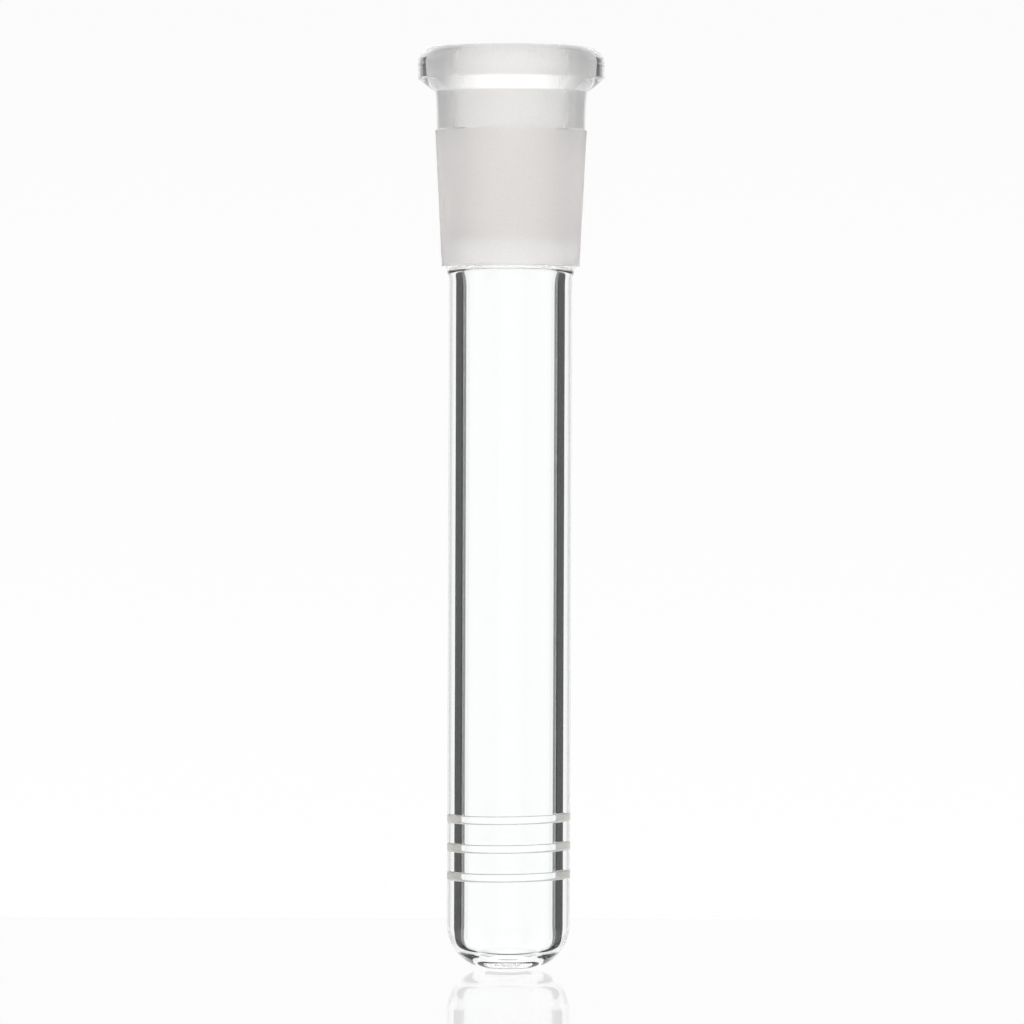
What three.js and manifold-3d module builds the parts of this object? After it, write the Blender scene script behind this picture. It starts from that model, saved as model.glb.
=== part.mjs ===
// Slotted gas inlet tube in clear borosilicate glass, with a standard-taper ground joint at its head.
// Units are millimetres. +Z is up along the tube's axis, and the origin is the centre of the foot it stands on.
// The glass is one flame-fused run of sections. Each section is its own closed solid, and neighbours meet
// face to face on a level plane, where the glassblower would have sealed them. -Y is the slotted side.

import * as THREE from "three";
import { mergeVertices } from "three/addons/utils/BufferGeometryUtils.js";
import Module from "manifold-3d";

// Whole tube
const OVERALL_LENGTH = 114.3; // four and a half inches, rim to foot
const STEM_RADIUS = 7.65;
const BORE_RADIUS = 5.85;

// Male ground cone: standard taper 18.8, which is 1 in 10 on the diameter
const TAPER_PER_RADIUS = 1 / 20;
const CONE_TOP_RADIUS = 18.8 / 2;
const CONE_TOP_Z = 104.1;
const CONE_LENGTH = 17;
const CONE_CHAMFER = 0.15;

// Female ground socket inside the head: standard taper 14.5, ground for 23 mm
const SOCKET_MOUTH_RADIUS = 14.5 / 2;
const SOCKET_GROUND_LENGTH = 23;
const MOUTH_ROUNDING = 1.1;

// Rolled collar at the rim, with a bevelled underside
const COLLAR_RADIUS = 11.6;
const COLLAR_ROUNDING = 2.1;
const COLLAR_EDGE_Z = 110.1;
const COLLAR_EDGE_ROUNDING = 0.5;
const COLLAR_FOOT_Z = 108.8;

// Neck between the collar and the cone, slightly waisted
const NECK_TOP_RADIUS = 9.5;
const NECK_WAIST_RADIUS = 9.25;
const NECK_WAIST_Z = 104.6;

// Ring seal: where the head's bottom is fused to the stem, flared outside and in the bore
const SEAL_BOTTOM_Z = 84;
const SEAL_FLARE_FOOT_Z = 85;
const SEAL_BORE_TOP_RADIUS = 6.65;
const SEAL_BORE_FOOT_Z = 84.5;

// Diffuser slits, sawn half-way through the tube and not quite level
const SLIT_COUNT = 3;
const LOWEST_SLIT_Z = 11.6;
const SLIT_PITCH = 3.55;
const SLIT_WIDTH = 0.95;
const SLIT_PAST_AXIS = 0.2;
const SLIT_TILT = THREE.MathUtils.degToRad(1);
const SLOTTED_TOP_Z = 22;

// Closed base, heavier than the wall, with a small flat foot
const BASE_TOP_Z = 8;
const FOOT_RADIUS = 2.5;
const BASE_CORNER_HEIGHT = 5.6;
const BOWL_TOP_Z = 5;
const BOWL_DEPTH = 3.2;
const BOWL_FLAT_RADIUS = 1.5;
const BOWL_EXPONENT = 3; // a superellipse, squarer than an ellipse

const SEGMENTS = 48;
const ARC_STEPS = 5;

const CONE_BOTTOM_Z = CONE_TOP_Z - CONE_LENGTH;
const CONE_BOTTOM_RADIUS = CONE_TOP_RADIUS - CONE_LENGTH * TAPER_PER_RADIUS;
const SOCKET_TOP_Z = OVERALL_LENGTH - MOUTH_ROUNDING;
const SOCKET_BOTTOM_Z = SOCKET_TOP_Z - SOCKET_GROUND_LENGTH;

const wasm = await Module();
wasm.setup();

const point = (radius, z) => new THREE.Vector2(radius, z);

// Points on an ellipse in the (radius, z) plane, between two angles in degrees counted from +radius to +z.
function arc(centre, halfWidth, halfHeight, fromDegrees, toDegrees) {
  return Array.from({ length: ARC_STEPS + 1 }, (_, i) => {
    const angle = THREE.MathUtils.degToRad(THREE.MathUtils.lerp(fromDegrees, toDegrees, i / ARC_STEPS));
    return point(centre.x + halfWidth * Math.cos(angle), centre.y + halfHeight * Math.sin(angle));
  });
}

// Radius of the ground socket at a height: it narrows evenly down to the end of its ground length.
function socketRadius(z) {
  return SOCKET_MOUTH_RADIUS - (SOCKET_TOP_Z - Math.max(z, SOCKET_BOTTOM_Z)) * TAPER_PER_RADIUS;
}

// A ring turned about the axis from its outside, listed upwards, and its bore, listed downwards.
function ring(outside, bore) {
  return turned([...outside, ...bore, outside[0]]);
}

// LatheGeometry turns about Y, so the result is stood up on Z.
function turned(profile) {
  return new THREE.LatheGeometry(profile, SEGMENTS).rotateX(Math.PI / 2);
}

function toSolid(geometry) {
  const bare = geometry.clone().deleteAttribute("normal").deleteAttribute("uv");
  const merged = mergeVertices(bare);
  return new wasm.Manifold(
    new wasm.Mesh({
      numProp: 3,
      vertProperties: merged.attributes.position.array,
      triVerts: new Uint32Array(merged.index.array),
    }),
  );
}

function toGeometry(solid) {
  const { vertProperties, triVerts } = solid.getMesh();
  const geometry = new THREE.BufferGeometry()
    .setAttribute("position", new THREE.BufferAttribute(vertProperties, 3))
    .setIndex(new THREE.BufferAttribute(triVerts, 1));
  geometry.computeVertexNormals();
  return geometry;
}

const clearGlass = () =>
  new THREE.MeshStandardMaterial({ color: 0xf4f6f6, roughness: 0.02, metalness: 0, transparent: true, opacity: 0.3 });
const groundGlass = () =>
  new THREE.MeshStandardMaterial({ color: 0xe6e3e2, roughness: 0.6, metalness: 0, transparent: true, opacity: 0.8 });

const assembly = new THREE.Group();

function add(name, geometry, material) {
  const mesh = new THREE.Mesh(geometry, material);
  mesh.name = name;
  assembly.add(mesh);
}

// Rim: rounded over the top from the collar's side to the mouth, bevelled back to the neck underneath.
function rimCollar() {
  const sideBottom = arc(
    point(COLLAR_RADIUS - COLLAR_EDGE_ROUNDING, COLLAR_EDGE_Z + COLLAR_EDGE_ROUNDING),
    COLLAR_EDGE_ROUNDING,
    COLLAR_EDGE_ROUNDING,
    -60,
    0,
  );
  const shoulder = arc(
    point(COLLAR_RADIUS - COLLAR_ROUNDING, OVERALL_LENGTH - COLLAR_ROUNDING),
    COLLAR_ROUNDING,
    COLLAR_ROUNDING,
    0,
    90,
  );
  const lip = arc(point(SOCKET_MOUTH_RADIUS + MOUTH_ROUNDING, SOCKET_TOP_Z), MOUTH_ROUNDING, MOUTH_ROUNDING, 90, 180);
  return ring(
    [point(NECK_TOP_RADIUS, COLLAR_FOOT_Z), ...sideBottom, ...shoulder],
    [...lip, point(socketRadius(COLLAR_FOOT_Z), COLLAR_FOOT_Z)],
  );
}

// Neck: waisted outside, with the ground socket inside.
function socketNeck() {
  const waist = arc(
    point(NECK_TOP_RADIUS, NECK_WAIST_Z),
    NECK_TOP_RADIUS - NECK_WAIST_RADIUS,
    COLLAR_FOOT_Z - NECK_WAIST_Z,
    180,
    90,
  );
  return ring(
    [point(NECK_WAIST_RADIUS, CONE_TOP_Z), ...waist],
    [point(socketRadius(COLLAR_FOOT_Z), COLLAR_FOOT_Z), point(socketRadius(CONE_TOP_Z), CONE_TOP_Z)],
  );
}

// Male cone, chamfered at its large end. The socket's ground length ends inside it.
function groundCone() {
  return ring(
    [
      point(CONE_BOTTOM_RADIUS, CONE_BOTTOM_Z),
      point(CONE_TOP_RADIUS, CONE_TOP_Z - CONE_CHAMFER),
      point(NECK_WAIST_RADIUS, CONE_TOP_Z),
    ],
    [
      point(socketRadius(CONE_TOP_Z), CONE_TOP_Z),
      point(socketRadius(SOCKET_BOTTOM_Z), SOCKET_BOTTOM_Z),
      point(SEAL_BORE_TOP_RADIUS, CONE_BOTTOM_Z),
    ],
  );
}

// Flare from the cone's small end down to the stem: quarter ellipses outside and in the bore.
function ringSeal() {
  const flare = arc(
    point(CONE_BOTTOM_RADIUS, SEAL_FLARE_FOOT_Z),
    CONE_BOTTOM_RADIUS - STEM_RADIUS,
    CONE_BOTTOM_Z - SEAL_FLARE_FOOT_Z,
    180,
    90,
  );
  const boreFlare = arc(
    point(SEAL_BORE_TOP_RADIUS, SEAL_BORE_FOOT_Z),
    SEAL_BORE_TOP_RADIUS - BORE_RADIUS,
    CONE_BOTTOM_Z - SEAL_BORE_FOOT_Z,
    90,
    180,
  );
  return ring([point(STEM_RADIUS, SEAL_BOTTOM_Z), ...flare], [...boreFlare, point(BORE_RADIUS, SEAL_BOTTOM_Z)]);
}

function plainTube(bottomZ, topZ) {
  return ring(
    [point(STEM_RADIUS, bottomZ), point(STEM_RADIUS, topZ)],
    [point(BORE_RADIUS, topZ), point(BORE_RADIUS, bottomZ)],
  );
}

// One saw cut: a slab from outside the front of the tube to just past its axis.
function slit(index) {
  const reach = 2 * STEM_RADIUS;
  const cut = new THREE.BoxGeometry(2 * reach, reach + SLIT_PAST_AXIS, SLIT_WIDTH);
  cut.translate(0, (SLIT_PAST_AXIS - reach) / 2, 0);
  cut.rotateY(-SLIT_TILT);
  return cut.translate(0, 0, LOWEST_SLIT_Z + index * SLIT_PITCH);
}

function slottedSection() {
  let tube = toSolid(plainTube(BASE_TOP_Z, SLOTTED_TOP_Z));
  for (let i = 0; i < SLIT_COUNT; i++) tube = tube.subtract(toSolid(slit(i)));
  return toGeometry(tube);
}

// Side of the bowl inside the base, from its rim down to its flat bottom. With w the way in from the flat
// bottom's edge to the rim, (w / W)^n + (depth / D)^n = 1.
function bowlSide() {
  const steps = 2 * ARC_STEPS;
  return Array.from({ length: steps + 1 }, (_, i) => {
    const angle = (i / steps) * (Math.PI / 2);
    const across = i === steps ? 0 : Math.cos(angle) ** (2 / BOWL_EXPONENT);
    const radius = THREE.MathUtils.lerp(BOWL_FLAT_RADIUS, BORE_RADIUS, across);
    return point(radius, BOWL_TOP_Z - BOWL_DEPTH * Math.sin(angle) ** (2 / BOWL_EXPONENT));
  });
}

// Rounded closed end with its flat foot.
function closedBase() {
  const corner = arc(
    point(FOOT_RADIUS, BASE_CORNER_HEIGHT),
    STEM_RADIUS - FOOT_RADIUS,
    BASE_CORNER_HEIGHT,
    -90,
    0,
  );
  return turned([
    point(0, 0),
    ...corner,
    point(STEM_RADIUS, BASE_TOP_Z),
    point(BORE_RADIUS, BASE_TOP_Z),
    ...bowlSide(),
    point(0, BOWL_TOP_Z - BOWL_DEPTH),
  ]);
}

add("rim_collar", rimCollar(), clearGlass());
add("socket_neck", socketNeck(), clearGlass());
add("ground_cone", groundCone(), groundGlass());
add("ring_seal", ringSeal(), clearGlass());
add("stem_tube", plainTube(SLOTTED_TOP_Z, SEAL_BOTTOM_Z), clearGlass());
add("slotted_section", slottedSection(), clearGlass());
add("closed_base", closedBase(), clearGlass());

export default assembly;
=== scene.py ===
"""Looks of the slotted gas inlet tube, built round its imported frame.

The tube is one flame-fused run of clear borosilicate glass. Each section of the run is a piece of
its own, turned from a profile, and neighbouring pieces share the level ring where they are fused.
"""

import logging
import math
from abc import ABC, abstractmethod
from collections.abc import Sequence
from dataclasses import dataclass, field
from enum import Enum

import bpy
import numpy as np
from mathutils import Euler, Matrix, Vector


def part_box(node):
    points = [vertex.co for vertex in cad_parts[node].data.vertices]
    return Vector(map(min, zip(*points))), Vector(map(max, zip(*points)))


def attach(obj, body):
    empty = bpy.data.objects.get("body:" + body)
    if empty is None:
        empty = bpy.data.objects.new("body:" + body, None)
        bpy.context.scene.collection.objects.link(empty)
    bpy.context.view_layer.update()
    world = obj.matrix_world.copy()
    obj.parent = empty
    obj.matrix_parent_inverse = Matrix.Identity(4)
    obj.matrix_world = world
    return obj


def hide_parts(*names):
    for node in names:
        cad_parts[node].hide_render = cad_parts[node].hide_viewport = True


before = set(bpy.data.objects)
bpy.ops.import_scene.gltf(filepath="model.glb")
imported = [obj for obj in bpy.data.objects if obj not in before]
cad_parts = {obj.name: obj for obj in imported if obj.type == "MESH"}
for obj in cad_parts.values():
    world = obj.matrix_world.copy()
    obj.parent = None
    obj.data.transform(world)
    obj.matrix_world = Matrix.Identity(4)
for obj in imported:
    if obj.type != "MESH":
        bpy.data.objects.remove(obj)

log = logging.getLogger("inlet_tube")

MM = 0.001
COLUMNS = 256  # facets round the axis
HAIR = 1e-6  # metres: how near a point of the frame lies to a seam's plane to count as on it
GLASS_BOUNCES = 32
MIRROR_BOUNCES = 16
SEAM_BOUNCES = 64


class Finish(Enum):
    """How a stretch of glass surface was left. The value is its place among a piece's materials."""

    POLISHED = 0
    GROUND = 1
    SAWN = 2
    SEAM = 3


# ---------------------------------------------------------------- surfaces


@dataclass(frozen=True)
class Run:
    """A smooth stretch of a turned section's profile.

    Its points are (radius, height) in metres, listed with the glass on their left: up the outside
    and down the bore.
    """

    points: np.ndarray
    finish: Finish

    def normals(self) -> np.ndarray:
        """Return the outward normal at each point: the tangent turned a quarter turn clockwise."""
        order = 2 if len(self.points) > 2 else 1
        tangent = np.gradient(self.points, axis=0, edge_order=order)
        across = np.stack([tangent[:, 1], -tangent[:, 0]], axis=1)
        on_axis = self.points[:, 0] == 0
        across[on_axis, 0] = 0
        return across / np.linalg.norm(across, axis=1, keepdims=True)


@dataclass
class Skin:
    """A closed surface as flat arrays, one entry per point, face corner or face."""

    points: np.ndarray
    corners: np.ndarray
    sizes: np.ndarray
    normals: np.ndarray
    finishes: np.ndarray

    def to_mesh(self, name: str, materials: Sequence[bpy.types.Material]) -> bpy.types.Mesh:
        """Write the arrays into a new mesh with its own corner normals.

        Args:
            name: the mesh's name.
            materials: the materials, in the order of Finish.

        Returns:
            The finished mesh.
        """
        mesh = bpy.data.meshes.new(name)
        mesh.vertices.add(len(self.points))
        mesh.vertices.foreach_set("co", self.points.astype(np.float32).ravel())
        mesh.loops.add(len(self.corners))
        mesh.loops.foreach_set("vertex_index", self.corners.astype(np.int32))
        mesh.polygons.add(len(self.sizes))
        starts = np.concatenate([[0], np.cumsum(self.sizes)[:-1]])
        mesh.polygons.foreach_set("loop_start", starts.astype(np.int32))
        mesh.update(calc_edges=True)
        for material in materials:
            mesh.materials.append(material)
        mesh.polygons.foreach_set("material_index", self.finishes.astype(np.int32))
        mesh.polygons.foreach_set("use_smooth", np.ones(len(self.sizes), dtype=bool))
        mesh.normals_split_custom_set(self.normals)
        return mesh


class SkinBuilder:
    """Gathers patches of faces over one set of points."""

    def __init__(self, points: np.ndarray) -> None:
        """Start with the points that every patch refers to.

        Args:
            points: (n, 3) places in metres.
        """
        self.points = points
        self.corners: list[np.ndarray] = []
        self.sizes: list[np.ndarray] = []
        self.normals: list[np.ndarray] = []
        self.finishes: list[np.ndarray] = []

    def add(self, faces: np.ndarray, normals: np.ndarray, finish: Finish) -> None:
        """Add faces that all have the same number of corners.

        Args:
            faces: (n, k) point numbers, anticlockwise from outside.
            normals: (n, k, 3) corner normals, or one (3,) normal for all of them.
            finish: the finish of all these faces.
        """
        count, size = faces.shape
        self.corners.append(faces.ravel())
        self.sizes.append(np.full(count, size))
        self.normals.append(np.broadcast_to(normals, (count, size, 3)).reshape(-1, 3))
        self.finishes.append(np.full(count, finish.value))

    def skin(self) -> Skin:
        """Join the patches into one skin."""
        gathered = (self.corners, self.sizes, self.normals, self.finishes)
        return Skin(self.points, *(np.concatenate(part) for part in gathered))


def turned(runs: Sequence[Run], columns: int = COLUMNS) -> Skin:
    """Turn a profile about the axis.

    A point of the skin is (r cos a, r sin a, z) for the profile's point (r, z) and the column's
    angle a. Where the profile starts and ends on the axis, each end is one point with a fan of
    triangles. Otherwise the last run ends where the first began.

    Args:
        runs: the profile's stretches in order, each starting where the one before ended.
        columns: facets round the axis.

    Returns:
        The closed skin.
    """
    profile = np.concatenate([run.points[:-1] for run in runs])
    open_ended = runs[0].points[0, 0] == 0
    if open_ended:
        profile = np.concatenate([profile, runs[-1].points[-1:]])
    angles = np.linspace(0, 2 * np.pi, columns, endpoint=False)
    round_axis = np.stack([np.cos(angles), np.sin(angles)], axis=1)

    rows = len(profile)
    numbers = np.arange(rows * columns).reshape(rows, columns)
    places = np.empty((rows, columns, 3))
    places[..., :2] = profile[:, None, :1] * round_axis[None]
    places[..., 2] = profile[:, None, 1]
    builder = SkinBuilder(places.reshape(-1, 3))
    if open_ended:
        numbers[0], numbers[-1] = numbers[0, 0], numbers[-1, 0]

    start = 0
    for run in runs:
        steps = len(run.points) - 1
        row = (start + np.arange(steps + 1)) % rows
        grid = numbers[row]
        across = run.normals()
        normals = np.empty((steps + 1, columns, 3))
        normals[..., :2] = across[:, None, :1] * round_axis[None]
        normals[..., 2] = across[:, None, 1]
        add_grid(builder, grid, normals, run.finish)
        start += steps
    return drop_unused(builder.skin())


def add_grid(builder: SkinBuilder, grid: np.ndarray, normals: np.ndarray, finish: Finish) -> None:
    """Add the faces between neighbouring rows and columns of a grid that closes round the axis.

    A row that is one point gives triangles. Every other pair of rows gives quads.

    Args:
        builder: the builder that holds the points.
        grid: (rows, columns) point numbers.
        normals: (rows, columns, 3) normals.
        finish: the finish of all these faces.
    """
    beside = np.roll(grid, -1, axis=1)
    beside_normals = np.roll(normals, -1, axis=1)
    faces = np.stack([grid[:-1], beside[:-1], beside[1:], grid[1:]], axis=-1)
    corner_normals = np.stack([normals[:-1], beside_normals[:-1], beside_normals[1:], normals[1:]], axis=-2)
    from_point = faces[:, 0, 0] == faces[:, 0, 1]
    to_point = faces[:, 0, 2] == faces[:, 0, 3]
    whole = ~(from_point | to_point)
    kinds = ((whole, [0, 1, 2, 3]), (from_point, [0, 2, 3]), (to_point, [0, 1, 2]))
    for rows, kept in kinds:
        if rows.any():
            chosen = faces[rows][..., kept].reshape(-1, len(kept))
            chosen_normals = corner_normals[rows][..., kept, :].reshape(-1, len(kept), 3)
            builder.add(chosen, chosen_normals, finish)


def drop_unused(skin: Skin) -> Skin:
    """Leave out the points that no face uses, and number the rest again."""
    used, corners = np.unique(skin.corners, return_inverse=True)
    return Skin(skin.points[used], corners.reshape(-1), skin.sizes, skin.normals, skin.finishes)


# ---------------------------------------------------------------- profile curves


def straight(start: Sequence[float], end: Sequence[float], steps: int = 1) -> np.ndarray:
    """Return evenly spaced points on the line from start to end, both (radius, height)."""
    share = np.linspace(0, 1, steps + 1)[:, None]
    return (1 - share) * np.array(start) + share * np.array(end)


def elliptic_arc(
    centre: Sequence[float], half_width: float, half_height: float, start: float, end: float, steps: int = 24
) -> np.ndarray:
    """Return points centre + (half_width cos a, half_height sin a) for a from start to end.

    Args:
        centre: the ellipse's centre as (radius, height).
        half_width: its half axis along the radius.
        half_height: its half axis along the height.
        start: the first angle, in degrees.
        end: the last angle, in degrees.
        steps: how many steps the arc takes.

    Returns:
        (steps + 1, 2) points.
    """
    angle = np.radians(np.linspace(start, end, steps + 1))
    offset = np.stack([half_width * np.cos(angle), half_height * np.sin(angle)], axis=1)
    return np.array(centre) + offset


def squared_bowl(
    rim: float, flat: float, top: float, depth: float, exponent: float, steps: int = 48
) -> np.ndarray:
    """Return a bowl's profile from its rim down to its flat bottom and in to the axis.

    The curve is ((r - flat) / (rim - flat))^n + (d / depth)^n = 1, where d is the depth below the top.

    Args:
        rim: the radius at the top.
        flat: the radius of the flat bottom.
        top: the height of the rim.
        depth: how far the bowl goes down.
        exponent: n, where 2 is an ellipse and more is squarer.
        steps: how many steps the curve takes.

    Returns:
        (steps + 9, 2) points, the last of them on the axis.
    """
    angle = np.linspace(0, np.pi / 2, steps + 1)
    across = np.cos(angle).clip(0) ** (2 / exponent)
    down = np.sin(angle) ** (2 / exponent)
    across[-1] = 0
    side = np.stack([flat + (rim - flat) * across, top - depth * down], axis=1)
    return joined(side, straight(side[-1], (0, top - depth), 8))


def joined(*stretches: np.ndarray) -> np.ndarray:
    """Join stretches end to end, with each shared point once."""
    return np.concatenate([stretches[0], *(stretch[1:] for stretch in stretches[1:])])


def tangent_angle(point: Sequence[float], centre: Sequence[float], radius: float) -> float:
    """Return where a line from a point below touches a circle on its outer side.

    Args:
        point: the line's start as (radius, height).
        centre: the circle's centre as (radius, height).
        radius: the circle's radius.

    Returns:
        The angle of the touching point on the circle, in degrees.
    """
    to_point = np.array(point) - np.array(centre)
    direction = math.atan2(to_point[1], to_point[0])
    return math.degrees(direction + math.acos(radius / np.linalg.norm(to_point))) % 360 - 360


# ---------------------------------------------------------------- sections


@dataclass(frozen=True)
class Seam:
    """A level ring where two sections are fused, in metres."""

    height: float
    outer: float
    bore: float

    @property
    def outside(self) -> tuple[float, float]:
        """The ring's outer edge as (radius, height)."""
        return self.outer, self.height

    @property
    def inside(self) -> tuple[float, float]:
        """The ring's inner edge as (radius, height)."""
        return self.bore, self.height

    def facing_down(self) -> Run:
        """The ring as the lower end of the section above it."""
        return Run(straight(self.inside, self.outside), Finish.SEAM)

    def facing_up(self) -> Run:
        """The ring as the upper end of the section below it."""
        return Run(straight(self.outside, self.inside), Finish.SEAM)


def seam_above(node: str) -> Seam:
    """Read the ring at the top of one of the frame's nodes.

    Args:
        node: the node's name.

    Returns:
        Its height and its two radii.
    """
    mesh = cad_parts[node].data
    places = np.empty(len(mesh.vertices) * 3)
    mesh.vertices.foreach_get("co", places)
    places = places.reshape(-1, 3)
    height = places[:, 2].max()
    radii = np.hypot(*places[places[:, 2] > height - HAIR, :2].T)
    return Seam(float(height), float(radii.max()), float(radii.min()))


@dataclass
class GlassSection(ABC):
    """One section of the tube: a piece that stands for one node of the frame."""

    node: str
    slot: str

    @abstractmethod
    def skin(self) -> Skin:
        """Work out the section's surface."""

    def build(self, materials: Sequence[bpy.types.Material]) -> bpy.types.Object:
        """Make the piece, and put it in the node's place.

        Args:
            materials: the materials, in the order of Finish.

        Returns:
            The new object.
        """
        name = f"{self.node}_glass"
        mesh = self.skin().to_mesh(name, materials)
        piece = bpy.data.objects.new(name, mesh)
        bpy.context.scene.collection.objects.link(piece)
        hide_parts(self.node)
        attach(piece, "root")
        log.info("%s: %d faces", name, len(mesh.polygons))
        return piece


@dataclass
class TurnedSection(GlassSection):
    """A section that is the same all round the axis."""

    @abstractmethod
    def runs(self) -> list[Run]:
        """List the profile, anticlockwise: up the outside and down the bore."""

    def skin(self) -> Skin:
        """Turn the profile about the axis."""
        return turned(self.runs())


@dataclass
class RimCollar(TurnedSection):
    """Rolled collar round the mouth, fire-polished outside, with the ground socket inside."""

    foot: Seam
    radius: float
    top: float
    shoulder_rounding: float = 2.1 * MM
    edge_rise: float = 1.8 * MM  # from the foot to the centre of the lower edge's rounding
    edge_rounding: float = 0.5 * MM
    mouth_rounding: float = 1.1 * MM
    mouth_radius: float = 7.25 * MM

    def runs(self) -> list[Run]:
        """List the bevel, the side and the rolled rim, then the socket's bore."""
        edge_centre = (self.radius - self.edge_rounding, self.foot.height + self.edge_rise)
        touch = tangent_angle(self.foot.outside, edge_centre, self.edge_rounding)
        edge = elliptic_arc(edge_centre, self.edge_rounding, self.edge_rounding, touch, 0, 12)
        shoulder_centre = (self.radius - self.shoulder_rounding, self.top - self.shoulder_rounding)
        shoulder = elliptic_arc(shoulder_centre, self.shoulder_rounding, self.shoulder_rounding, 0, 90, 32)
        lip_centre = (self.mouth_radius + self.mouth_rounding, self.top - self.mouth_rounding)
        lip = elliptic_arc(lip_centre, self.mouth_rounding, self.mouth_rounding, 90, 180)
        outside = joined(
            straight(self.foot.outside, edge[0], 4),
            edge,
            straight(edge[-1], shoulder[0], 4),
            shoulder,
            straight(shoulder[-1], lip[0], 2),
            lip,
        )
        bore = straight(lip[-1], self.foot.inside, 8)
        return [self.foot.facing_down(), Run(outside, Finish.POLISHED), Run(bore, Finish.GROUND)]


@dataclass
class SocketNeck(TurnedSection):
    """Short neck, waisted and fire-polished outside, with the ground socket inside."""

    foot: Seam
    head: Seam
    waist_rise: float = 0.5 * MM  # from the foot to where the wall starts to flare

    def runs(self) -> list[Run]:
        """List the straight wall and its flare, then the bore."""
        waist = (self.foot.outer, self.foot.height + self.waist_rise)
        flare_height = self.head.height - waist[1]
        flare_centre = (self.head.outer, waist[1])
        flare = elliptic_arc(flare_centre, self.head.outer - self.foot.outer, flare_height, 180, 90)
        outside = joined(straight(self.foot.outside, waist, 4), flare)
        return [
            self.foot.facing_down(),
            Run(outside, Finish.POLISHED),
            self.head.facing_up(),
            Run(straight(self.head.inside, self.foot.inside, 4), Finish.GROUND),
        ]


@dataclass
class GroundCone(TurnedSection):
    """Male cone, ground outside, with the lower part of the ground socket inside."""

    foot: Seam
    head: Seam
    top_radius: float
    chamfer: float = 0.15 * MM
    socket_end: float = 90.2 * MM
    taper: float = 1 / 20  # on the radius

    def runs(self) -> list[Run]:
        """List the cone and its chamfer, then the ground and the plain part of the bore."""
        shoulder = (self.top_radius, self.head.height - self.chamfer)
        socket_foot = (self.head.bore - (self.head.height - self.socket_end) * self.taper, self.socket_end)
        return [
            self.foot.facing_down(),
            Run(straight(self.foot.outside, shoulder, 16), Finish.GROUND),
            Run(straight(shoulder, self.head.outside, 2), Finish.POLISHED),
            self.head.facing_up(),
            Run(straight(self.head.inside, socket_foot, 12), Finish.GROUND),
            Run(straight(socket_foot, self.foot.inside, 4), Finish.POLISHED),
        ]


@dataclass
class RingSeal(TurnedSection):
    """Flare where the head is fused to the stem, clear inside and out."""

    foot: Seam
    head: Seam
    flare_rise: float = 1.0 * MM  # from the foot to where the outside starts to flare
    throat_rise: float = 0.5 * MM  # and the same for the bore

    def runs(self) -> list[Run]:
        """List both flares, each a quarter of an ellipse over a short straight wall."""
        flare_foot = (self.foot.outer, self.foot.height + self.flare_rise)
        flare_width = self.head.outer - self.foot.outer
        flare = elliptic_arc(
            (self.head.outer, flare_foot[1]), flare_width, self.head.height - flare_foot[1], 180, 90
        )
        throat = (self.foot.bore, self.foot.height + self.throat_rise)
        throat_width = self.head.bore - self.foot.bore
        funnel = elliptic_arc(
            (self.head.bore, throat[1]), throat_width, self.head.height - throat[1], 90, 180
        )
        return [
            self.foot.facing_down(),
            Run(joined(straight(self.foot.outside, flare_foot, 2), flare), Finish.POLISHED),
            self.head.facing_up(),
            Run(joined(funnel, straight(throat, self.foot.inside, 2)), Finish.POLISHED),
        ]


@dataclass
class StemTube(TurnedSection):
    """Plain heavy-wall tube."""

    foot: Seam
    head: Seam

    def runs(self) -> list[Run]:
        """List the two straight walls."""
        return [
            self.foot.facing_down(),
            Run(straight(self.foot.outside, self.head.outside, 8), Finish.POLISHED),
            self.head.facing_up(),
            Run(straight(self.head.inside, self.foot.inside, 8), Finish.POLISHED),
        ]


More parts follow.
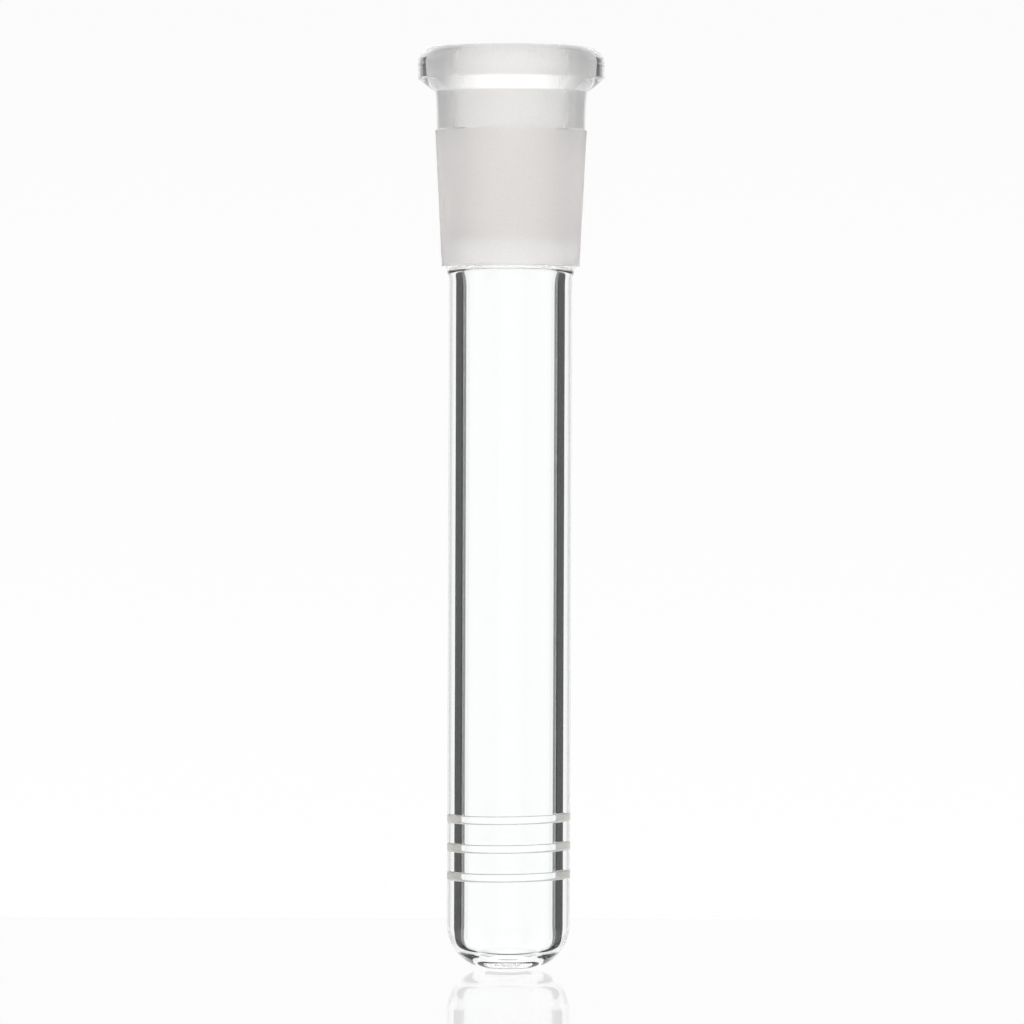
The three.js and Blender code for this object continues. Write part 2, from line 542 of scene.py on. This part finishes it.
@dataclass
class SlottedSection(GlassSection):
    """The stretch of tube with the diffuser slits, sawn from the front to just past the axis."""

    foot: Seam
    head: Seam
    slits: int = 3
    lowest: float = 11.6 * MM
    pitch: float = 3.55 * MM
    width: float = 0.95 * MM
    past_axis: float = 0.2 * MM
    tilt: float = math.radians(1)

    def skin(self) -> Skin:
        """Lay both walls out as grids of level lines and columns, and open them at the slits.

        A wall's point is (r cos a, r sin a, z + x tan t): the level lines along a slit lean by the
        saw's tilt t, and the lines at the two seams are level. The first column and the middle one
        lie on the plane where the saw stopped, on both walls, so the columns between them are
        spread over a little more than a half turn in front and a little less behind.
        """
        half = COLUMNS // 2
        middles = self.lowest + self.pitch * np.arange(self.slits)
        edges = middles[:, None] + self.width / 2 * np.array([-1, 1])
        levels = np.concatenate([[self.foot.height], edges.ravel(), [self.head.height]])
        lean = np.full(len(levels), math.tan(self.tilt))
        lean[[0, -1]] = 0
        walls, directions = [], []
        for radius in (self.foot.outer, self.foot.bore):
            stop = math.asin(self.past_axis / radius)
            behind = np.linspace(stop, np.pi - stop, half, endpoint=False)
            before = np.linspace(np.pi - stop, 2 * np.pi + stop, half, endpoint=False)
            angle = np.concatenate([behind, before])
            x, y = radius * np.cos(angle), radius * np.sin(angle)
            z = levels[:, None] + lean[:, None] * x[None]
            walls.append(np.stack([np.broadcast_to(x, z.shape), np.broadcast_to(y, z.shape), z], axis=-1))
            directions.append(np.stack([np.cos(angle), np.sin(angle), np.zeros_like(angle)], axis=-1))

        count = len(levels) * COLUMNS
        outer = np.arange(count).reshape(len(levels), COLUMNS)
        bore = outer + count
        builder = SkinBuilder(np.concatenate([wall.reshape(-1, 3) for wall in walls]))
        front = np.arange(half, COLUMNS)
        everywhere = np.arange(COLUMNS)
        for row in range(len(levels) - 1):
            in_slit = row % 2 == 1
            kept = np.arange(half) if in_slit else everywhere
            self.add_wall(builder, outer, row, kept, directions[0], 1)
            self.add_wall(builder, bore, row, kept, directions[1], -1)
            if in_slit:
                self.add_ring(builder, outer, bore, row, front, Finish.SAWN, 1)
                self.add_ring(builder, outer, bore, row + 1, front, Finish.SAWN, -1)
                self.add_web(builder, outer, bore, row, half)
        self.add_ring(builder, outer, bore, 0, everywhere, Finish.SEAM, -1)
        self.add_ring(builder, outer, bore, len(levels) - 1, everywhere, Finish.SEAM, 1)
        return builder.skin()

    @staticmethod
    def add_wall(
        builder: SkinBuilder,
        wall: np.ndarray,
        row: int,
        columns: np.ndarray,
        outward: np.ndarray,
        side: int,
    ) -> None:
        """Add the faces of one wall between a level line and the next.

        Args:
            builder: the builder that holds the points.
            wall: (levels, columns) point numbers.
            row: the lower level line.
            columns: the columns that each face starts from.
            outward: (columns, 3) directions away from the axis.
            side: 1 if the wall faces away from the axis, -1 if it faces the axis.
        """
        beside = (columns + 1) % COLUMNS
        faces = np.stack(
            [wall[row, columns], wall[row, beside], wall[row + 1, beside], wall[row + 1, columns]], axis=-1
        )
        facing = side * outward
        normals = np.stack([facing[columns], facing[beside], facing[beside], facing[columns]], axis=1)
        builder.add(faces[:, ::side], normals[:, ::side], Finish.POLISHED)

    @staticmethod
    def add_ring(
        builder: SkinBuilder,
        outer: np.ndarray,
        bore: np.ndarray,
        row: int,
        columns: np.ndarray,
        finish: Finish,
        up: int,
    ) -> None:
        """Add the flat faces from one wall to the other along a level line.

        Args:
            builder: the builder that holds the points.
            outer: the outer wall's point numbers.
            bore: the bore's point numbers.
            row: the level line.
            columns: the columns that each face starts from.
            finish: the finish of the ring.
            up: 1 if the ring faces up, -1 if it faces down.
        """
        beside = (columns + 1) % COLUMNS
        faces = np.stack(
            [outer[row, columns], outer[row, beside], bore[row, beside], bore[row, columns]], axis=-1
        )
        builder.add(faces[:, ::up], np.array([0.0, 0.0, up]), finish)

    @staticmethod
    def add_web(builder: SkinBuilder, outer: np.ndarray, bore: np.ndarray, row: int, half: int) -> None:
        """Add the two upright faces where the saw stopped, on either side of the bore.

        Args:
            builder: the builder that holds the points.
            outer: the outer wall's point numbers.
            bore: the bore's point numbers.
            row: the slit's lower level line.
            half: the middle column.
        """
        right = [outer[row, 0], outer[row + 1, 0], bore[row + 1, 0], bore[row, 0]]
        left = [outer[row, half], bore[row, half], bore[row + 1, half], outer[row + 1, half]]
        builder.add(np.array([right, left]), np.array([0.0, -1.0, 0.0]), Finish.SAWN)


@dataclass
class ClosedBase(TurnedSection):
    """Rounded closed end, thicker than the wall, on a small flat foot."""

    head: Seam
    foot_radius: float = 2.5 * MM
    corner_height: float = 5.6 * MM
    bowl_top: float = 5 * MM
    bowl_depth: float = 3.2 * MM
    bowl_flat: float = 1.5 * MM  # radius of the bowl's flat bottom
    bowl_exponent: float = 3.0

    def runs(self) -> list[Run]:
        """List the foot, the corner and the wall, then the bore and its bowl."""
        corner_centre = (self.foot_radius, self.corner_height)
        corner_width = self.head.outer - self.foot_radius
        corner = elliptic_arc(corner_centre, corner_width, self.corner_height, -90, 0, 48)
        outside = joined(straight((0, 0), corner[0], 8), corner, straight(corner[-1], self.head.outside, 4))
        bowl = squared_bowl(
            self.head.bore, self.bowl_flat, self.bowl_top, self.bowl_depth, self.bowl_exponent
        )
        bore = joined(straight(self.head.inside, bowl[0], 4), bowl)
        return [Run(outside, Finish.POLISHED), self.head.facing_up(), Run(bore, Finish.POLISHED)]


# ---------------------------------------------------------------- finishes


def linear(hex_colour: str) -> tuple[float, float, float, float]:
    """Turn an sRGB hex colour into linear RGBA."""
    srgb = np.array([int(hex_colour[i : i + 2], 16) for i in (1, 3, 5)]) / 255
    value = np.where(srgb <= 0.04045, srgb / 12.92, ((srgb + 0.055) / 1.055) ** 2.4)
    return (*value.tolist(), 1.0)


def add_node(
    tree: bpy.types.NodeTree, kind: str, inputs: dict[str | int, object] | None = None, **settings: object
) -> bpy.types.Node:
    """Add one shader node.

    Args:
        tree: the node tree.
        kind: the node's type name.
        inputs: for each input socket, a value or the output socket that feeds it.
        **settings: the node's own properties.

    Returns:
        The new node.
    """
    node = tree.nodes.new(kind)
    for key, value in settings.items():
        setattr(node, key, value)
    for key, value in (inputs or {}).items():
        if isinstance(value, bpy.types.NodeSocket):
            tree.links.new(value, node.inputs[key])
        else:
            node.inputs[key].default_value = value
    return node


def set_ramp(node: bpy.types.Node, stops: Sequence[tuple[float, float]]) -> None:
    """Give a Color Ramp node grey stops.

    Args:
        node: the Color Ramp node.
        stops: (position, level) pairs in order.
    """
    elements = node.color_ramp.elements
    while len(elements) > 1:
        elements.remove(elements[-1])
    for place, (position, level) in enumerate(stops):
        element = elements[0] if place == 0 else elements.new(position)
        element.position = position
        element.color = (level, level, level, 1)


@dataclass(frozen=True)
class GlassFinish:
    """A finish of borosilicate 3.3 glass, whose refractive index is 1.473.

    A painted shade, where there is one, mottles the colour: it fills the low places of the same noise that
    gives the relief, as shade painted into the pits of the grain.
    """

    name: str
    colour: str
    roughness: float
    grain: float  # metres across one grain of the surface's texture
    relief: float  # metres of height in that texture
    stretch: float = 1.0  # how many times longer a grain is along the tube
    clear: float = 1.0  # share of the light that goes through, where the rest is scattered back
    painted_pit_shade: str = ""  # painted shade: colour of the low places, or empty where the colour is the same all over
    ior: float = 1.473
    detail: float = 2.0  # octaves of noise
    painted_shade_below: float = 0.3  # noise level under which all is painted shade
    colour_above: float = 0.7  # noise level over which all is colour

    def material(self) -> bpy.types.Material:
        """Make the material: clear glass with this roughness over a noise of grains in relief."""
        made = bpy.data.materials.new(self.name)
        made.use_nodes = True
        tree = made.node_tree
        tree.nodes.clear()
        where = add_node(tree, "ShaderNodeTexCoord")
        stretched = add_node(
            tree,
            "ShaderNodeMapping",
            {"Vector": where.outputs["Object"], "Scale": (1, 1, 1 / self.stretch)},
        )
        grains = add_node(
            tree,
            "ShaderNodeTexNoise",
            {"Vector": stretched.outputs["Vector"], "Scale": 1 / self.grain, "Detail": self.detail},
        )
        relief = add_node(
            tree,
            "ShaderNodeBump",
            {"Height": grains.outputs["Fac"], "Distance": self.relief, "Strength": 1.0},
        )
        colour = linear(self.colour)
        # Painted shade: the low places of the relief get the darker colour.
        if self.painted_pit_shade:
            painted_pit_shade_mix = add_node(
                tree,
                "ShaderNodeMixRGB",
                {0: self.painted_pit_shading(tree, grains), 1: linear(self.painted_pit_shade), 2: colour},
            )
            colour = painted_pit_shade_mix.outputs[0]
        glass = add_node(
            tree,
            "ShaderNodeBsdfPrincipled",
            {
                "Base Color": colour,
                "Roughness": self.roughness,
                "IOR": self.ior,
                "Transmission Weight": self.clear,
                "Normal": relief.outputs["Normal"],
            },
        )
        add_node(tree, "ShaderNodeOutputMaterial", {"Surface": glass.outputs["BSDF"]})
        return made

    def painted_pit_shading(self, tree: bpy.types.NodeTree, grains: bpy.types.Node) -> bpy.types.NodeSocket:
        """Stretch the noise's middle range over the whole way from painted shade to colour.

        Args:
            tree: the material's node tree.
            grains: the noise node.

        Returns:
            The socket that carries the share of the colour.
        """
        share = add_node(
            tree,
            "ShaderNodeMapRange",
            {
                "Value": grains.outputs["Fac"],
                "From Min": self.painted_shade_below,
                "From Max": self.colour_above,
            },
        )
        return share.outputs[0]


@dataclass(frozen=True)
class SeamFinish:
    """The plane where two sections are fused: the glass runs on through it, so nothing shows."""

    name: str = "fused_seam"

    def material(self) -> bpy.types.Material:
        """Make a material that is all see-through."""
        made = bpy.data.materials.new(self.name)
        made.use_nodes = True
        tree = made.node_tree
        tree.nodes.clear()
        clear = add_node(tree, "ShaderNodeBsdfPrincipled", {"Alpha": 0.0})
        add_node(tree, "ShaderNodeOutputMaterial", {"Surface": clear.outputs["BSDF"]})
        return made


# Drawn tube, fire-polished: a glassy skin with the faintest ripple along the draw.
FIRE_POLISHED = GlassFinish("fire_polished_borosilicate", "#fdfefe", 0.0, 1.2 * MM, 0.0015 * MM, 30)
# Ground with fine grit: an even matt white that blurs all behind it. The real grains are a tenth of
# a millimetre or less, and are drawn a little coarser so that they show.
# Its low places are painted a little darker: painted shade in the pits of the grain.
FINE_GROUND = GlassFinish(
    "fine_ground_borosilicate", "#fffdfc", 0.62, 0.15 * MM, 0.01 * MM, clear=0.9, painted_pit_shade="#f0eeed"
)
# Cut with a diamond saw: rougher to light than the ground surface. Most of the light is scattered
# back, so the cuts show as whitish lines.
DIAMOND_SAWN = GlassFinish(
    "diamond_sawn_borosilicate", "#fffefb", 0.7, 0.12 * MM, 0.006 * MM, clear=0.3
)


def glass_materials() -> list[bpy.types.Material]:
    """Make the materials of all finishes, in the order of Finish."""
    made = {
        Finish.POLISHED: FIRE_POLISHED.material(),
        Finish.GROUND: FINE_GROUND.material(),
        Finish.SAWN: DIAMOND_SAWN.material(),
        Finish.SEAM: SeamFinish().material(),
    }
    return [made[finish] for finish in Finish]


# ---------------------------------------------------------------- studio


@dataclass(frozen=True)
class StudioCamera:
    """Long lens, a little above the middle of the tube, looking along +Y."""

    lens: float = 225.0  # millimetres
    sensor: float = 36.0  # millimetres
    nearest: float = 0.01
    farthest: float = 20.0
    distance: float = 0.795
    height: float = 0.0685
    aside: float = 0.0
    pitch: float = math.radians(-0.854)
    yaw: float = math.radians(-0.02)
    roll: float = math.radians(0.2)

    def build(self) -> None:
        """Make the camera and use it."""
        data = bpy.data.cameras.new("studio_camera")
        data.lens = self.lens
        data.sensor_width = self.sensor
        data.clip_start, data.clip_end = self.nearest, self.farthest
        camera = bpy.data.objects.new("studio_camera", data)
        camera.location = (self.aside, -self.distance, self.height)
        level = Euler((math.pi / 2 + self.pitch, 0, self.yaw)).to_matrix()
        rolled = Euler((0, 0, self.roll)).to_matrix()
        camera.rotation_euler = (level @ rolled).to_euler()
        bpy.context.scene.collection.objects.link(camera)
        bpy.context.scene.camera = camera


@dataclass(frozen=True)
class GlossSheet:
    """White gloss sheet that the tube stands on. It glows evenly and mirrors a little.

    Only the camera sees it: the glass sees the studio light in its place.
    """

    behind: float = 0.0775
    before: float = 0.40
    beside: float = 0.40
    glow: float = 0.73
    mirror: float = 0.24
    roughness: float = 0.015

    def build(self) -> None:
        """Make the sheet at the level of the foot."""
        x = np.array([-self.beside, self.beside, self.beside, -self.beside])
        y = np.array([-self.before, -self.before, self.behind, self.behind])
        mesh = bpy.data.meshes.new("gloss_sheet")
        mesh.from_pydata(np.stack([x, y, np.zeros(4)], axis=1).tolist(), [], [[0, 1, 2, 3]])
        mesh.materials.append(self.material())
        sheet = bpy.data.objects.new("gloss_sheet", mesh)
        sheet.visible_transmission = False
        sheet.visible_diffuse = False
        sheet.visible_glossy = False
        bpy.context.scene.collection.objects.link(sheet)

    def material(self) -> bpy.types.Material:
        """Make the sheet's material: an even glow plus a share of mirror."""
        made = bpy.data.materials.new("white_gloss_sheet")
        made.use_nodes = True
        tree = made.node_tree
        tree.nodes.clear()
        glow = add_node(tree, "ShaderNodeEmission", {"Color": (1, 1, 1, 1), "Strength": self.glow})
        mirrored = add_node(
            tree,
            "ShaderNodeBsdfGlossy",
            {"Color": (self.mirror, self.mirror, self.mirror, 1), "Roughness": self.roughness},
        )
        both = add_node(tree, "ShaderNodeAddShader", {0: glow.outputs[0], 1: mirrored.outputs[0]})
        add_node(tree, "ShaderNodeOutputMaterial", {"Surface": both.outputs[0]})
        return made


@dataclass(frozen=True)
class StudioLight:
    """Light from all round: white panels before and behind, greyer ones at the sides, dark cards.

    The cards stand between the panels and give clear glass its dark edges. Those on the -Y side are
    pale. The panels and cards on the +Y side reach far down, and those on the -Y side only a little
    below level. Everywhere else is the room: white, dimmer towards the diagonals, brighter
    overhead, and with one dark ring of directions steeply below.

    It isn't one physical room. The camera sees a plain near-white in its place. Light that has gone
    straight through both walls of the tube sees narrower cards, so that the tube isn't dark inside
    from the diagonals. Light mirrored off a surface sees paler cards, which keeps outlines clean.
    """

    panel: float = 1.02  # radiance
    # (degrees from the nearest of +Y and -Y, share of the panel's radiance)
    sector: tuple[tuple[float, float], ...] = (
        (0, 1.0),
        (26, 1.0),
        (28, 0.0),
        (49, 0.0),
        (51, 0.05),
        (54, 0.05),
        (56, 0.0),
        (60.5, 0.0),
        (62.5, 0.25),
        (68, 0.3),
        (72, 0.6),
        (90, 0.7),
    )
    # The same for light that has gone straight through both walls.
    sector_through: tuple[tuple[float, float], ...] = (
        (0, 1.0),
        (26, 1.0),
        (28, 0.0),
        (40, 0.0),
        (44, 1.0),
        (90, 1.0),
    )
    both_walls: float = 3.5  # more surfaces than this: in and out of both walls
    front_grey: float = 0.8  # how far the cards on the -Y side are lightened
    mirrored_grey: float = 0.35  # how far the cards are lightened where a surface mirrors them
    # The room: (degrees from the nearest of +Y and -Y, share of the level at that height)
    room_round: tuple[tuple[float, float], ...] = (
        (0, 1.0),
        (22, 1.0),
        (45, 0.6),
        (68, 1.0),
        (90, 1.0),
    )
    # The room: (height of the direction, as its sine; share of the panel's radiance)
    room_height: tuple[tuple[float, float], ...] = (
        (-0.92, 1.0),
        (-0.88, 0.15),
        (-0.80, 0.15),
        (-0.76, 1.0),
        (0.0, 1.0),
        (0.3, 1.1),
        (0.6, 1.45),
        (1.0, 1.45),
    )
    # (height of the direction, as its sine; how far the panels and cards take over)
    reach_before: tuple[tuple[float, float], ...] = (
        (-0.18, 0.0),
        (-0.14, 1.0),
        (0.16, 1.0),
        (0.22, 0.0),
    )
    reach_behind: tuple[tuple[float, float], ...] = (
        (-0.75, 0.0),
        (-0.7, 1.0),
        (0.16, 1.0),
        (0.22, 0.0),
    )
    backdrop_low: float = 0.996  # level at the lower height
    backdrop_high: float = 0.965  # level at the upper height
    backdrop_heights: tuple[float, float] = (-0.07, 0.075)  # as sines

    def build(self) -> None:
        """Make the world."""
        world = bpy.data.worlds.new("studio_light")
        world.use_nodes = True
        tree = world.node_tree
        tree.nodes.clear()
        where = add_node(tree, "ShaderNodeTexCoord")
        axes = add_node(tree, "ShaderNodeSeparateXYZ", {0: where.outputs["Generated"]})
        studio = add_node(
            tree,
            "ShaderNodeBackground",
            {"Color": self.studio(tree, axes), "Strength": self.panel},
        )
        backdrop = add_node(tree, "ShaderNodeBackground", {"Color": self.backdrop(tree, axes)})
        path = add_node(tree, "ShaderNodeLightPath")
        chosen = add_node(
            tree,
            "ShaderNodeMixShader",
            {0: path.outputs["Is Camera Ray"], 1: studio.outputs[0], 2: backdrop.outputs[0]},
        )
        add_node(tree, "ShaderNodeOutputWorld", {"Surface": chosen.outputs[0]})
        bpy.context.scene.world = world

    def studio(self, tree: bpy.types.NodeTree, axes: bpy.types.Node) -> bpy.types.NodeSocket:
        """Work out the light of a direction, as a share of the panels' radiance.

        Args:
            tree: the world's node tree.
            axes: the node that gives the direction's X, Y and Z.

        Returns:
            The socket that carries the share.
        """
        aside = add_node(tree, "ShaderNodeMath", {0: axes.outputs["X"]}, operation="ABSOLUTE")
        along = add_node(tree, "ShaderNodeMath", {0: axes.outputs["Y"]}, operation="ABSOLUTE")
        turn = add_node(
            tree, "ShaderNodeMath", {0: aside.outputs[0], 1: along.outputs[0]}, operation="ARCTAN2"
        )
        quarter = add_node(
            tree, "ShaderNodeMath", {0: turn.outputs[0], 1: math.pi / 2}, operation="DIVIDE"
        )
        before = add_node(
            tree, "ShaderNodeMath", {0: axes.outputs["Y"], 1: 0.0}, operation="LESS_THAN"
        )
        height = add_node(
            tree,
            "ShaderNodeMapRange",
            {"Value": axes.outputs["Z"], "From Min": -1.0, "From Max": 1.0},
        )
        light = add_node(
            tree,
            "ShaderNodeMixRGB",
            {
                0: self.reach(tree, height.outputs[0], before.outputs[0]),
                1: self.room(tree, height.outputs[0], quarter.outputs[0]),
                2: self.cards(tree, quarter.outputs[0], before.outputs[0]),
            },
        )
        return light.outputs[0]

    def cards(
        self, tree: bpy.types.NodeTree, quarter: bpy.types.NodeSocket, before: bpy.types.NodeSocket
    ) -> bpy.types.NodeSocket:
        """Work out the level of the panels and cards.

        Args:
            tree: the world's node tree.
            quarter: the turn from the nearest of +Y and -Y, as a share of a quarter turn.
            before: 1 on the -Y side, otherwise 0.

        Returns:
            The socket that carries the level.
        """
        path = add_node(tree, "ShaderNodeLightPath")
        bent = add_node(tree, "ShaderNodeValToRGB", {0: quarter})
        set_ramp(bent, [(degrees / 90, level) for degrees, level in self.sector])
        straight_on = add_node(tree, "ShaderNodeValToRGB", {0: quarter})
        set_ramp(straight_on, [(degrees / 90, level) for degrees, level in self.sector_through])
        through = add_node(
            tree,
            "ShaderNodeMath",
            {0: path.outputs["Transmission Depth"], 1: self.both_walls},
            operation="GREATER_THAN",
        )
        level = add_node(
            tree,
            "ShaderNodeMixRGB",
            {0: through.outputs[0], 1: bent.outputs[0], 2: straight_on.outputs[0]},
        )
        pale = add_node(
            tree, "ShaderNodeMath", {0: before, 1: self.front_grey}, operation="MULTIPLY"
        )
        mirrored = add_node(
            tree,
            "ShaderNodeMath",
            {0: path.outputs["Is Reflection Ray"], 1: self.mirrored_grey},
            operation="MULTIPLY",
        )
        lightened = add_node(
            tree, "ShaderNodeMath", {0: pale.outputs[0], 1: mirrored.outputs[0]}, operation="MAXIMUM"
        )
        seen = add_node(
            tree,
            "ShaderNodeMixRGB",
            {0: lightened.outputs[0], 1: level.outputs[0], 2: (1.0, 1.0, 1.0, 1.0)},
        )
        return seen.outputs[0]

    def room(
        self, tree: bpy.types.NodeTree, height: bpy.types.NodeSocket, quarter: bpy.types.NodeSocket
    ) -> bpy.types.NodeSocket:
        """Work out the level of the room round the panels and cards.

        Args:
            tree: the world's node tree.
            height: the direction's height, from 0 straight down to 1 straight up.
            quarter: the turn from the nearest of +Y and -Y, as a share of a quarter turn.

        Returns:
            The socket that carries the level: the one for the height times the one for the turn.
        """
        upright = add_node(tree, "ShaderNodeValToRGB", {0: height})
        set_ramp(upright, [((sine + 1) / 2, level) for sine, level in self.room_height])
        around = add_node(tree, "ShaderNodeValToRGB", {0: quarter})
        around.color_ramp.interpolation = "EASE"
        set_ramp(around, [(degrees / 90, level) for degrees, level in self.room_round])
        product = add_node(
            tree,
            "ShaderNodeMixRGB",
            {0: 1.0, 1: upright.outputs[0], 2: around.outputs[0]},
            blend_type="MULTIPLY",
        )
        return product.outputs[0]

    def reach(
        self, tree: bpy.types.NodeTree, height: bpy.types.NodeSocket, before: bpy.types.NodeSocket
    ) -> bpy.types.NodeSocket:
        """Work out how far the panels and cards take over from the room.

        Args:
            tree: the world's node tree.
            height: the direction's height, from 0 straight down to 1 straight up.
            before: 1 on the -Y side, otherwise 0.

        Returns:
            The socket that carries the share.
        """
        shares = []
        for stops in (self.reach_behind, self.reach_before):
            ramp = add_node(tree, "ShaderNodeValToRGB", {0: height})
            set_ramp(ramp, [((sine + 1) / 2, level) for sine, level in stops])
            shares.append(ramp.outputs[0])
        share = add_node(tree, "ShaderNodeMixRGB", {0: before, 1: shares[0], 2: shares[1]})
        return share.outputs[0]

    def backdrop(self, tree: bpy.types.NodeTree, axes: bpy.types.Node) -> bpy.types.NodeSocket:
        """Work out the near-white that the camera sees, a touch dimmer higher up.

        Args:
            tree: the world's node tree.
            axes: the node that gives the direction's X, Y and Z.

        Returns:
            The socket that carries the level.
        """
        level = add_node(
            tree,
            "ShaderNodeMapRange",
            {
                "Value": axes.outputs["Z"],
                "From Min": self.backdrop_heights[0],
                "From Max": self.backdrop_heights[1],
                "To Min": self.backdrop_low,
                "To Max": self.backdrop_high,
            },
        )
        return level.outputs[0]


def set_light_paths() -> None:
    """Let rays go deep enough for a tube with four glass surfaces, and show its white as white."""
    scene = bpy.context.scene
    cycles = scene.cycles
    cycles.max_bounces = GLASS_BOUNCES
    cycles.transmission_bounces = GLASS_BOUNCES
    cycles.glossy_bounces = MIRROR_BOUNCES
    cycles.transparent_max_bounces = SEAM_BOUNCES
    cycles.use_denoising = True
    scene.view_settings.view_transform = "Standard"


# ---------------------------------------------------------------- the tube


@dataclass
class InletTube:
    """The whole tube: its sections from the base to the rim, over seams read from the frame."""

    sections: list[GlassSection] = field(default_factory=list)

    def __post_init__(self) -> None:
        """List the sections."""
        below = ("closed_base", "slotted_section", "stem_tube", "ring_seal", "ground_cone", "socket_neck")
        base_top, slotted_top, stem_top, seal_top, cone_top, neck_top = map(seam_above, below)
        _, rim_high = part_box("rim_collar")
        self.sections = [
            ClosedBase("closed_base", "clear_glass", base_top),
            SlottedSection("slotted_section", "clear_glass", base_top, slotted_top),
            StemTube("stem_tube", "clear_glass", slotted_top, stem_top),
            RingSeal("ring_seal", "clear_glass", stem_top, seal_top),
            GroundCone("ground_cone", "ground_glass", seal_top, cone_top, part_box("ground_cone")[1].x),
            SocketNeck("socket_neck", "clear_glass", cone_top, neck_top),
            RimCollar("rim_collar", "clear_glass", neck_top, rim_high.x, rim_high.z),
        ]

    def build(self) -> None:
        """Make every section."""
        materials = glass_materials()
        for section in self.sections:
            section.build(materials)


def main() -> None:
    """Build the studio and the tube."""
    logging.basicConfig(level=logging.INFO, format="%(name)s %(message)s")
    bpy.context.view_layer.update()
    StudioCamera().build()
    StudioLight().build()
    GlossSheet().build()
    set_light_paths()
    InletTube().build()


if __name__ == "__main__":
    main()
